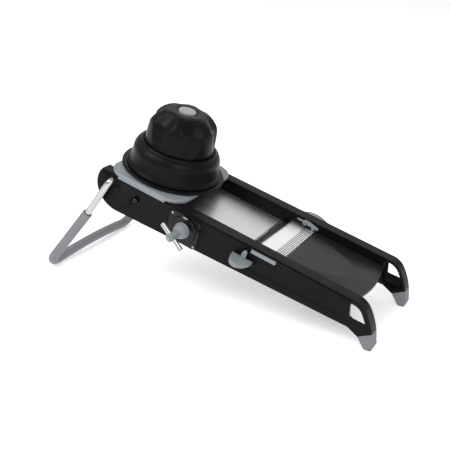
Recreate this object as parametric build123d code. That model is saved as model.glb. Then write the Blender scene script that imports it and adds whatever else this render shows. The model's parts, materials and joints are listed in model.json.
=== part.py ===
from build123d import *
import math
import os

# Kitchen mandoline slicer: two side rails with hooked front legs, a sloping bed with an adjustable
# infeed plate and a straight blade, a julienne comb, a folding wire stand, and a food pusher that
# rides along the rails on a carriage.
#
# The slicer is drawn along its rails: x runs down the slope with 0 at the stand's pivot, y runs
# across with 0 at mid-width (the near side, with the knobs, is -y), and z is square to the rails
# with 0 at their top faces. stand_on_table() then tilts it onto the table. Millimetres, degrees.

# ---------------------------------------------------------------- frame
frame_width = 130.0
rail_thickness = 14.5
rail_run = 318.5            # pivot to the point where a rail's top bends down into its leg
rail_tail = 17.0            # top of the rail behind the pivot
rail_depth_high = 45.0
rail_depth_low = 33.5
rail_bulge = 4.3            # how far the rounded high end swells past the tail
rib_pitch = 34.0
rib_wall = 2.4
shell_wall = 2.6
shell_roof = 19.0           # solid depth under the rail's top, above the hollow
panel_step = 0.6            # the upper part of the outer face is set back by this much
panel_band = 8.5            # height of the band left proud along the lower edge

leg_bend_radius = 22.0
leg_bend_angle = 47.0
leg_sweep_radius = 80.0
leg_sweep_angle = 26.0
leg_strut = 5.5             # width of the leg's front strut beside its opening
leg_reach = 16.5            # rail_run to the joint's rear corner
leg_drop = 5.0              # lower edge of the rail to the joint's rear corner
pad_tip_radius = 5.5
pad_tip_x = 30.5            # tip centre beyond rail_run
pad_tip_z = -43.8
pad_flat = 0.8              # how much of the round tip is flattened where it stands
pad_joint_slope = 38.0      # joint between leg and rubber pad
leg_skin = 3.6              # outer skin left by the pocket inside the leg
leg_flange = 3.5            # front flange beside that pocket

# ---------------------------------------------------------------- clearances
running = 0.06              # shaft in its bore, on the radius
sliding = 0.35              # sliding faces
free = 0.6                  # parts that must never touch

# ---------------------------------------------------------------- stand
pivot_z = -9.0
stand_reach = 154.6         # pivot to the crossbar's corners, before they are rounded
stand_angle = 21.2          # lean of the open stand, back from square to the rails
stand_knee = 54.0           # along the leg, where it starts to splay
stand_splay = 16.1          # extra half-width at the corners
stand_arch = 13.0           # how far the crossbar's middle is arched
wire_radius = 4.2
sleeve_radius = 6.0
sleeve_start = 58.0
arch_radius = 400.0         # bend in the crossbar's middle
knee_radius = 150.0
corner_radius = 14.0
bush_wall = 1.8
bush_depth = 11.0
leg_gap = 1.2               # wire to the rail's outer face

# ---------------------------------------------------------------- bed, blade and comb
bed_z = -10.5
bed_thickness = 3.0
bed_nose_radius = 160.0
bed_nose = 2.5              # bed's nose beyond rail_run
bed_skirt = 11.0
bed_skirt_wall = 3.0
infeed_back = 8.0           # infeed plate behind the pivot
infeed_length = 177.0       # pivot to the infeed plate's front edge
infeed_sheet = 1.0
infeed_z_back = -14.6
infeed_z_front = -17.0
hinge_x = 34.0
hinge_z = -21.0
hinge_radius = 2.2
comb_gap = 1.2              # infeed plate to comb cartridge
comb_x = infeed_length + comb_gap
comb_width = 11.0
comb_pitch = 4.0
comb_tooth = 0.8
comb_top = -15.6
blade_gap = 1.0             # comb cartridge to blade
blade_x = comb_x + comb_width + blade_gap
blade_width = 32.5
blade_sheet = 1.4
blade_top = -10.1
blade_bevel = 3.2           # width of the ground edge
grid_start = 20.2           # blade's edge to its crossed grid
grid_pitch = 2.4
grid_depth = 0.35
grip_strip = 4.2            # height of the blade's grey grip
tongue_length = 4.0         # blade tongue inside the far rail

# ---------------------------------------------------------------- thickness adjuster
adjuster_x = 106.2
adjuster_z = -22.9
adjuster_turn = 80.0        # either way
shaft_radius = 2.25
cam_radius = 4.1
cam_throw = 2.3
cam_offset = 28.0
bezel_radius = 17.0
bezel_height = 3.0
base_plate = (42.0, 36.4, 1.2)    # glossy plate behind the bezel: along, upright, thick
base_screw_reach = (17.7, 14.6)   # its screws from the adjuster's axis
base_screw_radius = 0.9
dome_radius = 9.3
dome_rim = 9.9
dome_out = 14.6             # dome's top from the rail
stub_radius = 4.8
stub_end = 31.0
t_bar_length = 37.5
t_bar_radius = 2.9
t_bar_out = 25.0
t_bar_lean = -33.4
t_bar_groove = 0.7
hub_screw_radius = 1.2
shaft_out = 18.0            # shaft's end outside the near rail

# ---------------------------------------------------------------- blade lock
lock_x = blade_x + 17.6
lock_z = -4.3
lock_wheel_radius = 34.0
lock_wheel_width = 7.0
lock_wheel_shift = (2.6, -30.6)  # wheel's centre from the axle, along and square to the rail
lock_wheel_reach = 17.5          # wheel's segment either way from its middle
lock_wheel_depth = 6.5           # of the wheel's segment below the axle
lock_teeth = 15
lock_clip_width = 3.2
lock_axle_radius = 1.6

# ---------------------------------------------------------------- carriage and pusher
pusher_x = 41.0
carriage_thickness = 4.0
carriage_gap = 0.4          # carriage plate above the rail tops
carriage_overhang = 2.2
carriage_corner = 23.0
carriage_margin = 3.0       # plate past the pusher's throat ring, along x
throat_margin = 1.6         # throat ring inside the rails' inner faces
ring_wall = 2.5
flange_width = 14.4
flange_height = 3.4
bell_wall = 2.6
bell_height = 36.0
plunger_gap = 0.45
plunger_wall = 3.0
plunger_travel = 17.5
knob_height = 43.0
knob_crown_radius = 18.0
knob_lobes = 6
scallop_radius = 12.0
scallop_depth = 3.5
scallop_lean = 25.0
scallop_start = 19.0        # azimuth of the first hollow between lobes
pin_length = 7.0
pin_radius = 1.2
pin_plate_height = 3.0
button_radius = 9.3
button_travel = 3.0
button_sink = 4.0           # cap's underside below the crown
stem_radius = 2.5

# ---------------------------------------------------------------- cross bars
bar_width = 14.0
bar_height = 13.0
bar_wall = 3.5
rib_depth = 6.0             # bed's cross ribs
bar_high = (4.0, -27.0)     # x of the bar and height of its top
bar_mid = (blade_x + blade_width + 12.0, bed_z - bed_thickness)
bar_low = (rail_run - 34.0, bed_z - bed_thickness)
screw_drop = 7.5
screw_radius = 1.5
screw_bite = 7.0
screw_places = [(x, z - screw_drop) for x, z in (bar_high, bar_mid, bar_low)]

# ---------------------------------------------------------------- derived places
half_width = frame_width / 2
inner_half = half_width - rail_thickness
rail_slope = (rail_depth_low - rail_depth_high) / (rail_run - 14.0)
wire_y = half_width + leg_gap + wire_radius
throat_radius = inner_half - throat_margin
ring_inner = throat_radius - ring_wall
bell_inner = ring_inner - sliding - bell_wall
plunger_radius = bell_inner - plunger_gap
carriage_z = carriage_gap
carriage_top = carriage_gap + carriage_thickness
flange_z = carriage_top + sliding
bell_foot = flange_z + flange_height + sliding
bell_top = carriage_top + bell_height
carriage_half_length = throat_radius + sliding + carriage_margin
carriage_half_width = half_width + carriage_overhang
lock_wheel_y = carriage_half_width + free
flange_radius = ring_inner + flange_width + ring_wall
hub_screw_tip = -half_width - t_bar_out - t_bar_radius - 0.2


def rail_bottom(x):
    """Height of a rail's lower edge."""
    return -rail_depth_high - rail_slope * (x - 14.0)


def slab(sketch, y_low, y_high):
    """Solid between two upright planes from a side view drawn in x and z."""
    return extrude(Plane.XZ.offset(-y_high) * sketch, amount=y_high - y_low)


def side_box(x_low, x_high, y_low, y_high, z_low, z_high):
    """Box given by its limits."""
    size = (x_high - x_low, y_high - y_low, z_high - z_low)
    return Pos(x_low, y_low, z_low) * Box(*size, align=(Align.MIN, Align.MIN, Align.MIN))


def cross_rod(x, z, radius, y_low, y_high):
    """Round bar across the slicer."""
    middle = (y_low + y_high) / 2
    return Pos(x, middle, z) * Rot(X=90) * Cylinder(radius, y_high - y_low)


def polygon(*points):
    return make_face(Polyline(*points, close=True))


# ---------------------------------------------------------------- rails
def leg_front(inset):
    """Front curve of the leg, moved inwards: a tight bend, then a long sweep."""
    bend = JernArc((rail_run, -inset), (1, 0), leg_bend_radius - inset, -leg_bend_angle)
    sweep_arc = JernArc(bend @ 1, bend % 1, leg_sweep_radius - inset, -leg_sweep_angle)
    return bend, sweep_arc


def pad_joint_corner():
    return rail_run + leg_reach, rail_bottom(rail_run) - leg_drop


def rail_profile():
    bend, sweep_arc = leg_front(0)
    tail = -rail_tail
    back = ThreePointArc((tail - 0.5, -29.0), (tail - rail_bulge, -12.0), (tail, 0))
    heel = ThreePointArc((14.0, rail_bottom(14.0)), (-8.5, -38.5), back @ 0)
    knee = (rail_run + 3.0, rail_bottom(rail_run))
    joint = pad_joint_corner()
    outline = [
        back,
        Line(back @ 1, bend @ 0),
        bend,
        sweep_arc,
        Line(sweep_arc @ 1, joint),
        Line(joint, knee),
        Line(knee, heel @ 0),
        heel,
    ]
    return make_face(outline)


def leg_opening():
    """Rounded triangle through the leg."""
    bend, sweep_arc = leg_front(leg_strut)
    rear_top = (rail_run - 4.0, -leg_strut)
    rear_low = (rail_run + 1.0, -23.0)
    outline = [
        Line(rear_top, bend @ 0),
        bend,
        Line(bend @ 1, sweep_arc @ 0.42),
        Line(sweep_arc @ 0.42, rear_low),
        Line(rear_low, rear_top),
    ]
    hole = make_face(outline)
    return fillet(hole.vertices().filter_by(lambda v: (v.center() - Vector(*(bend @ 0))).length > 1
                                            and (v.center() - Vector(*(bend @ 1))).length > 1), 1.6)


def leg_pocket():
    """Hollow behind the leg's outer skin, a flange's width inside its edges."""
    bend, sweep_arc = leg_front(leg_flange)
    end = sweep_arc @ 0.62
    joint = pad_joint_corner()
    lower = rail_bottom(rail_run)
    outline = [
        Line((rail_run - 5.5, -leg_flange - 1.5), (rail_run, -leg_flange)),
        bend,
        sweep_arc.trim(0, 0.62),
        Line(end, (joint[0] - 0.5, joint[1] + leg_flange)),
        Line((joint[0] - 0.5, joint[1] + leg_flange), (rail_run + 4.5, lower + 3.0)),
        Line((rail_run + 4.5, lower + 3.0), (rail_run - 3.5, lower + 6.5)),
        Line((rail_run - 3.5, lower + 6.5), (rail_run - 5.5, -leg_flange - 1.5)),
    ]
    return make_face(outline)


def pad_joint_side(keep_leg):
    """Everything on one side of the joint between leg and rubber pad."""
    side = Align.MIN if keep_leg else Align.MAX
    reach = 2 * rail_run
    half_plane = Rectangle(2 * reach, reach, align=(Align.CENTER, side))
    return Pos(*pad_joint_corner()) * Rot(Z=pad_joint_slope) * half_plane


def hollow_bays():
    """Open bays in the rail's underside, between ribs."""
    first = 16.0
    count = int((rail_run - 30.0 - first) // rib_pitch)
    pitch = (rail_run - 30.0 - first) / count
    bays = []
    for i in range(count):
        low = first + i * pitch + rib_wall / 2
        high = first + (i + 1) * pitch - rib_wall / 2
        if low < adjuster_x + 24 and high > adjuster_x - 24:
            roof = adjuster_z - bezel_radius + 3.0
        elif low < blade_x + blade_width + 4 and high > comb_x - 8:
            roof = comb_top - 16.5
        else:
            roof = -shell_roof
        if low < hinge_x + 10 and high > hinge_x - 10:
            roof = hinge_z - 11.0
        bays.append(side_box(low, high, -half_width + shell_wall, -inner_half - shell_wall, -60, roof))
    return bays


def side_rail():
    """Near rail without the cuts that only one side has; the far rail is its mirror image."""
    outline = rail_profile() - leg_opening()
    outline = outline & pad_joint_side(True)
    rail = slab(outline, -half_width, -inner_half)
    rail -= slab(leg_pocket(), -half_width + leg_skin, -inner_half + 1)
    for bay in hollow_bays():
        rail -= bay
    groove = side_box(-rail_tail - 9, rail_run - 4, -half_width - 1, -half_width + 1.6, -2.6, -0.9)
    rail -= groove
    lower = [(x, rail_bottom(x) + panel_band) for x in (hinge_x + 150.0, rail_run - 12.0)]
    panel = polygon(lower[0], lower[1], (rail_run - 16.0, -5.0), (hinge_x + 150.0, -5.0))
    panel = fillet(panel.vertices(), 2.0)
    rail -= slab(panel, -half_width - 1, -half_width + panel_step)
    bush_radius = wire_radius + running + bush_wall
    rail -= cross_rod(0, pivot_z, bush_radius, -half_width - 1, -half_width + bush_depth)
    rail -= hinge_recess()
    rail -= cross_rod(hinge_x, hinge_z, hinge_radius + running, -half_width - 1, -inner_half + 1)
    for place in screw_places:
        rail += cross_rod(*place, screw_radius + shell_wall, -inner_half - screw_bite - 1.0, -inner_half)
        rail -= cross_rod(*place, screw_radius, -inner_half - screw_bite, -inner_half + 1)
    return rail


def hinge_recess():
    """Oblong recess that hides the infeed hinge screw's head."""
    slot = Rot(Z=49) * SlotOverall(17.0, 8.0)
    return slab(Pos(hinge_x + 1.6, hinge_z + 2.2) * slot, -half_width - 1, -half_width + 4.0)


def comb_slot():
    return side_box(comb_x - sliding, comb_x + comb_width + sliding, -half_width - 1, -inner_half + 1,
                    comb_top - 12.0, comb_top + sliding)


def blade_slot():
    low = blade_top - blade_sheet - 1.8
    return side_box(blade_x - sliding, blade_x + blade_width + 1.5 + sliding, -half_width - 1,
                    -inner_half + 1, low, -2.9)


def near_rail():
    rail = side_rail()
    rail -= cross_rod(adjuster_x, adjuster_z, shaft_radius + running, -half_width - 1, -inner_half + 1)
    rail -= comb_slot()
    rail -= blade_slot()
    return rail


def far_rail():
    rail = mirror(side_rail(), about=Plane.XZ)
    rail -= cross_rod(adjuster_x, adjuster_z, shaft_radius + bush_wall, inner_half - 1, half_width - 4)
    rail -= cross_rod(lock_x, lock_z, lock_axle_radius + running, inner_half - 1, half_width + 1)
    pocket = side_box(blade_x + 5.0 - sliding, blade_x + 14.0 + sliding, inner_half - 1,
                      inner_half + tongue_length + free, blade_top - blade_sheet - sliding, blade_top + sliding)
    return rail - pocket


def foot_pad(side):
    """Rubber pad on the leg's tip, flattened where it stands."""
    x, z = pad_joint_corner()
    bend, sweep_arc = leg_front(0)
    front = sweep_arc @ 1
    tip = Pos(rail_run + pad_tip_x, pad_tip_z) * Circle(pad_tip_radius)
    lower = polygon((x, z), (rail_run + pad_tip_x - 4.6, pad_tip_z - 3.0), (rail_run + pad_tip_x, pad_tip_z),
                    (rail_run + pad_tip_x + pad_tip_radius, pad_tip_z + 0.2), (front.X, front.Y),
                    (front.X - 6.0, front.Y + 6.0))
    outline = (lower + tip + rail_profile()) & pad_joint_side(False)
    outline = outline & Pos(rail_run + pad_tip_x, pad_tip_z) * Rectangle(60, 50)
    table = Rot(Z=tilt) * Rectangle(80, 40, align=(Align.CENTER, Align.MAX))
    flat = pad_tip_radius - pad_flat
    outline -= Pos(rail_run + pad_tip_x + flat * math.sin(math.radians(tilt)),
                   pad_tip_z - flat * math.cos(math.radians(tilt))) * table
    y_low = -half_width if side < 0 else inner_half
    return slab(outline, y_low, y_low + rail_thickness)


# ---------------------------------------------------------------- tilt onto the table
def stand_direction():
    lean = math.radians(stand_angle)
    return Vector(-math.sin(lean), 0, -math.cos(lean))


def table_tilt():
    """Slope of the rails when both pads and the stand's rounded corners touch the table."""
    lowest = -stand_path(sleeve_start).bounding_box(optimal=True).min.Z
    corner = Vector(0, 0, pivot_z) + stand_direction() * lowest
    reach = Vector(rail_run + pad_tip_x - corner.X, 0, pad_tip_z - corner.Z)
    rise = math.atan2(reach.Z, reach.X)
    return math.degrees(rise - math.asin((pad_tip_radius - pad_flat - sleeve_radius) / reach.length))


# ---------------------------------------------------------------- bed and cross members
def outfeed_bed():
    start = blade_x + blade_width + free
    sheet = side_box(start, rail_run + bed_nose, -inner_half, inner_half, bed_z - bed_thickness, bed_z)
    nose = Pos(rail_run + bed_nose - bed_nose_radius, 0, bed_z) * Cylinder(bed_nose_radius, 4 * bed_thickness)
    bed = sheet & nose
    for side in (-1, 1):
        y_low, y_high = sorted((side * inner_half, side * (inner_half - bed_skirt_wall)))
        bed += side_box(start, rail_run - 24, y_low, y_high, bed_z - bed_skirt, bed_z - bed_thickness)
    rib_gap = (bar_low[0] - bar_mid[0]) / 3
    for step in (1, 2):
        x = bar_mid[0] + step * rib_gap
        bed += side_box(x - 1, x + 1, -inner_half, inner_half, bed_z - rib_depth, bed_z - bed_thickness)
    for place in screw_places:
        bed -= cross_rod(*place, screw_radius, -inner_half - 1, inner_half + 1)
    return bed


def bar_end(z_top):
    """Half-length of a cross bar: to the rails, or to the bed's skirts where it sits under the bed."""
    return inner_half - bed_skirt_wall if z_top >= bed_z - bed_thickness else inner_half


def cross_bar(x, z_top):
    """U-shaped bar between the rails, open side down, with closed ends for the screws."""
    y = bar_end(z_top)
    body = side_box(x - bar_width / 2, x + bar_width / 2, -y, y, z_top - bar_height, z_top)
    reach = bar_width / 2 - shell_wall
    core = side_box(x - reach, x + reach, -y + bar_wall, y - bar_wall, z_top - bar_height - 1, z_top - shell_wall)
    return body - core - cross_rod(x, z_top - screw_drop, screw_radius, -y - 1, y + 1)


def bar_screws():
    """Pan-head screws through the cross bars' ends into the rails, heads inside."""
    screws = []
    for x, z_top in (bar_high, bar_mid, bar_low):
        z = z_top - screw_drop
        head_face = bar_end(z_top) - bar_wall
        head = cross_rod(x, z, 1.9 * screw_radius, head_face - 2.0, head_face)
        shank = cross_rod(x, z, screw_radius, head_face, inner_half + screw_bite)
        screws += [head + shank, mirror(head + shank, about=Plane.XZ)]
    return screws


# ---------------------------------------------------------------- stand
def stand_path(start):
    """Centre line of the stand's wire from one leg to the other, drawn in the x=0 plane.

    start is the distance down the leg; below zero the line begins at the inner ends of the pins.
    """
    corner_y = wire_y + stand_splay
    knee_y = wire_y + 1.2
    half = [(knee_y, -stand_knee), (corner_y, -stand_reach)]
    radii = [knee_radius, corner_radius]
    if start < 0:
        half = [(half_width - bush_depth + 1.0, 0), (wire_y, 0)] + half
        radii = [leg_gap + wire_radius - 0.2] + radii
    else:
        share = (start - stand_knee) / (stand_reach - stand_knee)
        half = [(knee_y + share * (corner_y - knee_y), -start), (corner_y, -stand_reach)]
        radii = [corner_radius]
    middle = (0.0, -stand_reach + stand_arch)
    points = half + [middle] + [(-y, z) for y, z in reversed(half)]
    all_radii = radii + [arch_radius] + radii[::-1]
    return FilletPolyline(*[(0, y, z) for y, z in points], radius=all_radii)


def along(path, radius):
    return sweep(Plane(origin=path @ 0, z_dir=path % 0) * Circle(radius), path=path)


def lean_stand(shape):
    return Pos(0, 0, pivot_z) * Rot(Y=stand_angle) * shape


def stand_wire():
    return lean_stand(along(stand_path(-1), wire_radius))


def stand_sleeve():
    path = stand_path(sleeve_start)
    return lean_stand(along(path, sleeve_radius) - along(path, wire_radius))


def stand_bushes():
    bushes = []
    for side in (-1, 1):
        y_low, y_high = sorted((side * half_width, side * (half_width - bush_depth)))
        outer = cross_rod(0, pivot_z, wire_radius + running + bush_wall, y_low, y_high)
        bushes.append(outer - cross_rod(0, pivot_z, wire_radius + running, y_low - 1, y_high + 1))
    return bushes


tilt = table_tilt()


# ---------------------------------------------------------------- infeed plate
def infeed_line(x):
    """Height of the infeed plate's upper face."""
    share = (x + infeed_back) / (infeed_length + infeed_back)
    return infeed_z_back + share * (infeed_z_front - infeed_z_back)


def infeed_layer(x_low, x_high, top_drop, bottom_drop):
    """Side view of a layer that follows the plate, between two depths below its face."""
    return polygon(
        (x_low, infeed_line(x_low) - top_drop),
        (x_high, infeed_line(x_high) - top_drop),
        (x_high, infeed_line(x_high) - bottom_drop),
        (x_low, infeed_line(x_low) - bottom_drop),
    )


def infeed_plate():
    y = inner_half - free
    plate = slab(infeed_layer(-infeed_back, infeed_length, 0, infeed_sheet), -y, y)
    lip = infeed_layer(infeed_length - 2.0, infeed_length, infeed_sheet, infeed_sheet + 1.0)
    return plate + slab(lip, -y, y)


def infeed_tray():
    """Plastic carrier under the steel plate: a thin web with ribs and two hinge lugs."""
    y = inner_half - free
    web = slab(infeed_layer(-infeed_back, infeed_length - 2.0, infeed_sheet, 2 * infeed_sheet), -y, y)
    tray = web
    for x in (20.0, 62.0, 140.0, 164.0):
        tray += slab(infeed_layer(x - 1.2, x + 1.2, 1.5 * infeed_sheet, 7.0), -y, y)
    for side in (-1, 1):
        y_low, y_high = sorted((side * y, side * (y - 4.5)))
        tray += slab(infeed_layer(16.0, adjuster_x - 14.0, 1.5 * infeed_sheet, 8.0), y_low, y_high)
        tray += slab(infeed_layer(adjuster_x + 14.0, infeed_length - 8.0, 1.5 * infeed_sheet, 6.0), y_low, y_high)
        tray += cross_rod(hinge_x, hinge_z, 4.6, y_low, y_high)
        tray -= cross_rod(hinge_x, hinge_z, hinge_radius + running, y_low - 1, y_high + 1)
    return tray


def hinge_screws():
    """Shoulder screws that the infeed tray swings on."""
    screws = []
    for side in (-1, 1):
        head_face = half_width - 4.0
        shank = cross_rod(hinge_x, hinge_z, hinge_radius, inner_half - free - 4.5, head_face)
        head = cross_rod(hinge_x, hinge_z, 3.4, head_face, head_face + 2.4)
        slot = side_box(hinge_x - 4, hinge_x + 4, head_face + 1.4, head_face + 3, hinge_z - 0.5, hinge_z + 0.5)
        screw = head + shank - slot
        screws.append(screw if side > 0 else mirror(screw, about=Plane.XZ))
    return screws


# ---------------------------------------------------------------- thickness adjuster
def spun_out(*points):
    """Solid of revolution about the adjuster's axis from points given as radius and distance off the rail."""
    half = polygon(*[(radius, -half_width - out) for radius, out in points])
    return Pos(adjuster_x, 0, adjuster_z) * revolve(half, Axis.Y)


def base_screw_places():
    dx, dz = base_screw_reach
    return [(adjuster_x - dx, adjuster_z + dz), (adjuster_x + dx, adjuster_z - dz)]


def adjuster_plate():
    """Glossy plate screwed to the rail behind the bezel."""
    length, height, thickness = base_plate
    outline = Pos(adjuster_x, adjuster_z) * RectangleRounded(length, height, 5.0)
    plate = slab(outline, -half_width - thickness, -half_width)
    for place in base_screw_places():
        plate -= cross_rod(*place, base_screw_radius, -half_width - thickness - 1, -half_width + 1)
    return plate - cross_rod(adjuster_x, adjuster_z, bezel_radius, -half_width - thickness - 1, -half_width + 1)


def adjuster_bezel():
    """Turned disc the dome turns on, with a raised bead round its edge."""
    bore = shaft_radius + running
    disc = spun_out((bore, 0), (bezel_radius, 0), (bezel_radius, bezel_height - 1.0),
                    (bezel_radius - 1.0, bezel_height), (bezel_radius - 2.4, bezel_height), (bezel_radius - 2.8, bezel_height - 0.5),
                    (dome_rim + 1.2, bezel_height - 0.5), (dome_rim + 0.8, bezel_height), (bore, bezel_height))
    return disc


def plate_fixings():
    """Small screws through the base plate, nearly flush."""
    face = -half_width - base_plate[2]
    screws = []
    for place in base_screw_places():
        head = cross_rod(*place, 1.6 * base_screw_radius, face - 0.6, face)
        cross = side_box(place[0] - 1.2, place[0] + 1.2, face - 1, face - 0.3, place[1] - 0.25, place[1] + 0.25)
        screws.append(head + cross_rod(*place, base_screw_radius, face, -half_width) - cross)
    return screws


def thickness_pointer():
    """Small bright index on the bezel's upper edge."""
    mark = Pos(adjuster_x + 0.2, adjuster_z + bezel_radius - 0.5) * SlotOverall(6.4, 1.9)
    return slab(mark, -half_width - bezel_height - 0.8, -half_width - bezel_height)


def adjuster_dome():
    """Grey knob: a rimmed dome on the bezel and a stub that the T-bar passes through."""
    start = bezel_height + sliding
    knob = spun_out((0, start), (dome_rim, start), (dome_rim, start + 1.2), (dome_radius, start + 2.0),
                    (dome_radius - 0.3, start + 4.6), (dome_radius - 1.5, dome_out - 3.8),
                    (dome_radius - 3.0, dome_out - 1.5), (stub_radius + 0.6, dome_out - 0.2),
                    (stub_radius, dome_out + 0.6), (stub_radius, stub_end - 0.8), (stub_radius - 0.8, stub_end),
                    (0, stub_end))
    knob -= cross_rod(adjuster_x, adjuster_z, shaft_radius, -half_width - shaft_out, -half_width)
    knob -= cross_rod(adjuster_x, adjuster_z, hub_screw_radius, -half_width - stub_end - 1, hub_screw_tip)
    return knob - t_bar_place() * Cylinder(t_bar_radius, t_bar_length)


def t_bar_place():
    return Pos(adjuster_x, -half_width - t_bar_out, adjuster_z) * Rot(Y=90 - t_bar_lean)


def adjuster_t_bar():
    """Round-ended bar with a finger groove along each arm."""
    reach = t_bar_length / 2
    bar = Cylinder(t_bar_radius, t_bar_length)
    bar = fillet(bar.edges().filter_by(GeomType.CIRCLE), 1.4)
    for side in (-1, 1):
        bar -= Pos(0, -t_bar_radius - 0.2, side * (reach / 2 + 2.6)) * Cylinder(t_bar_groove, reach - 7.0)
    return t_bar_place() * bar


def hub_screw():
    """Pan-head screw in the stub's end."""
    x, z = adjuster_x, adjuster_z
    end = -half_width - stub_end
    head = cross_rod(x, z, 2.2, end - 1.4, end)
    cross = side_box(x - 1.4, x + 1.4, end - 2, end - 0.7, z - 0.35, z + 0.35)
    return head + cross_rod(x, z, hub_screw_radius, end, hub_screw_tip) - cross


def adjuster_shaft():
    return cross_rod(adjuster_x, adjuster_z, shaft_radius, -half_width - shaft_out, inner_half + 8.0)


def adjuster_cams():
    cams = []
    for y in (-cam_offset, cam_offset):
        disc = cross_rod(adjuster_x + cam_throw, adjuster_z, cam_radius, y - 3.5, y + 3.5)
        cams.append(disc - cross_rod(adjuster_x, adjuster_z, shaft_radius, y - 5, y + 5))
    return cams


def shaft_bearing():
    outer = cross_rod(adjuster_x, adjuster_z, shaft_radius + bush_wall, inner_half - 0.3, half_width - 4)
    return outer - cross_rod(adjuster_x, adjuster_z, shaft_radius + running, inner_half - 2, half_width - 5)


# ---------------------------------------------------------------- julienne comb cartridge
def comb_bar():
    """Black carrier that slides in from the near side."""
    low = comb_top - 11.0
    x_low = comb_x + 0.5
    x_high = comb_x + comb_width - 0.5
    bar = side_box(x_low, x_high, -half_width, inner_half - free, low, comb_top - 4.5)
    ridge = side_box(x_high - 4.6, x_high, -half_width, inner_half - free, comb_top - 4.5, comb_top - 0.6)
    return bar + ridge


def comb_teeth():
    """Steel strip with upright cutting teeth, on the carrier's upstream half."""
    x_low = comb_x + 0.5
    base = side_box(x_low, x_low + 5.0, -inner_half + 2, inner_half - 2, comb_top - 4.5, comb_top - 3.3)
    comb = base
    count = int((2 * inner_half - 8) // comb_pitch)
    for i in range(count + 1):
        y = (i - count / 2) * comb_pitch
        comb += side_box(x_low, x_low + 5.0, y - comb_tooth / 2, y + comb_tooth / 2, comb_top - 3.4, comb_top)
    return comb


def comb_grip():
    """Half-moon thumb grip outside the near rail."""
    x = comb_x + comb_width / 2 + 1.6
    face = -half_width - free
    moon = Pos(x, face) * Ellipse(13.0, 20.5)
    moon &= Pos(x, face) * Rectangle(60, 60, align=(Align.CENTER, Align.MAX))
    grip = extrude(Pos(0, 0, comb_top - 6.0) * moon, amount=4.5)
    neck = side_box(comb_x + 1.5, comb_x + comb_width - 1.5, face - 2.0, -half_width,
                    comb_top - 9.0, comb_top - 2.5)
    return grip + neck


def comb_pointer():
    """Upright tab on the grip that shows which comb is fitted."""
    x = comb_x + comb_width / 2 + 3.4
    foot = comb_top - 1.5
    tab = polygon((x - 3.0, foot), (x + 2.4, foot), (x + 2.6, foot + 7.5), (x + 1.2, foot + 10.5),
                  (x - 1.6, foot + 9.0), (x - 3.4, foot + 5.0))
    return slab(fillet(tab.vertices(), 0.7), -half_width - 4.0, -half_width - 1.4)


# ---------------------------------------------------------------- blade cartridge
def blade_plate():
    """Steel blade: ground straight edge upstream, crossed grid downstream, tongue at the far end."""
    y = inner_half - free
    section = polygon(
        (blade_x + blade_bevel, blade_top),
        (blade_x + blade_width, blade_top),
        (blade_x + blade_width, blade_top - blade_sheet),
        (blade_x, blade_top - blade_sheet),
        (blade_x, blade_top - blade_sheet + 0.2),
    )
    blade = slab(section, -half_width + 6.0, y)
    tongue = side_box(blade_x + 5.0, blade_x + 14.0, y - 1, inner_half + tongue_length,
                      blade_top - blade_sheet, blade_top)
    blade += tongue
    grid_length = blade_width - grid_start
    grid_half = inner_half - 6.0
    middle = blade_x + grid_start + grid_length / 2
    cutter = math.sqrt(2) * 2 * grid_depth
    grooves = []
    for i in range(int(2 * grid_half // grid_pitch) + 1):
        place = Pos(middle, -grid_half + i * grid_pitch, blade_top) * Rot(X=45)
        grooves.append(place * Box(grid_length - 1.6, cutter / 2, cutter / 2))
    for i in range(int((grid_length - 2.0) // grid_pitch) + 1):
        place = Pos(blade_x + grid_start + 1.0 + i * grid_pitch, 0, blade_top) * Rot(Y=45)
        grooves.append(place * Box(cutter / 2, 2 * grid_half, cutter / 2))
    return blade - grooves


def blade_carrier():
    """Black block that fills the near rail's slot and holds the blade's end."""
    low = blade_top - blade_sheet - 1.4
    high = -2.9 - sliding - grip_strip
    block = side_box(blade_x + 0.2, blade_x + blade_width + 1.2, -half_width, -inner_half - 1.0, low, high)
    blade_end = side_box(blade_x - 1, blade_x + blade_width, -half_width + 6.0, -inner_half,
                         blade_top - blade_sheet, blade_top)
    block -= blade_end
    for rivet in blade_rivets():
        block -= rivet
    return block


def blade_grip():
    """Grey strip for finger and thumb, proud of the rail."""
    high = -2.9 - sliding
    return side_box(blade_x + 2.8, blade_x + blade_width + 1.2, -half_width - 1.5, -half_width + 6.0,
                    high - grip_strip, high)


def blade_rivets():
    rivets = []
    down = (Align.CENTER, Align.CENTER, Align.MAX)
    for x in (blade_x + 8.0, blade_x + 24.5):
        rivets.append(Pos(x, -inner_half - 4.5, blade_top - blade_sheet) * Cylinder(1.6, 1.4, align=down))
    return rivets


# ---------------------------------------------------------------- blade lock
def lock_axle():
    inner_end = inner_half - lock_clip_width - 0.4
    return cross_rod(lock_x, lock_z, lock_axle_radius, inner_end, lock_wheel_y + lock_wheel_width)


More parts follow.
